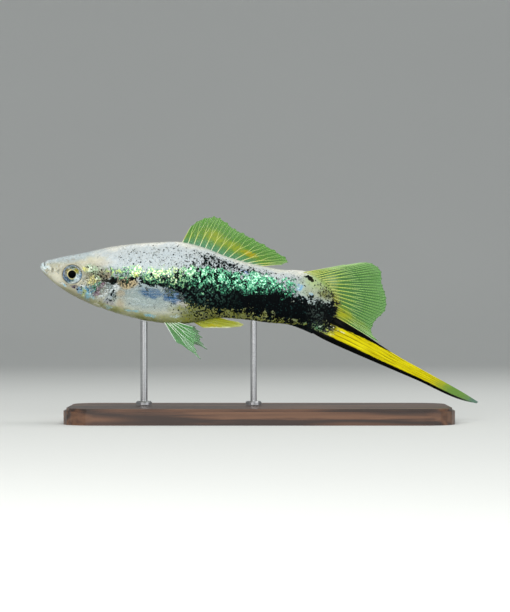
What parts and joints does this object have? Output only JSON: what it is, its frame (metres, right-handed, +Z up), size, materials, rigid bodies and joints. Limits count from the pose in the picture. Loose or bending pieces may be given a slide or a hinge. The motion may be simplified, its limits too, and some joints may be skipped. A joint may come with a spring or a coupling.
{
  "type": "swordtail fish model",
  "caption": "Still, life-size model of a male swordtail fish with a long pointed tail sword, held level above a flat base by rods.",
  "frame": {"origin": "on the floor under the middle of the whole length, at the centre of the base's underside", "axes": "+X from the snout to the tip of the sword, +Y to the fish's right, +Z up"},
  "size_m": [0.1096, 0.04, 0.0515],
  "materials": {
    "skin": "satin, painted with scales and an iridescent band",
    "eye": "wet gloss over a black pupil",
    "fin": "translucent web with pale rays",
    "sword": "satin yellow with black edges",
    "anal_fin": "satin, pale gold",
    "stand_board": "oiled dark walnut",
    "stand_steel": "brushed rod"
  },
  "bodies": {
    "root": {"head": "skin", "lower_jaw": "skin", "gill_cover_left": "skin", "gill_cover_right": "skin", "eye_left": "eye", "eye_right": "eye", "trunk": "skin", "tail_stalk": "skin", "dorsal_fin": "fin", "tail_fan": "fin", "tail_sword": "sword", "anal_fin": "anal_fin", "pectoral_fin_left": "fin", "pectoral_fin_right": "fin", "pelvic_fin_left": "fin", "pelvic_fin_right": "fin", "stand_base": "stand_board", "stand_rod_front": "stand_steel", "stand_rod_rear": "stand_steel"}
  },
  "joints": []
}
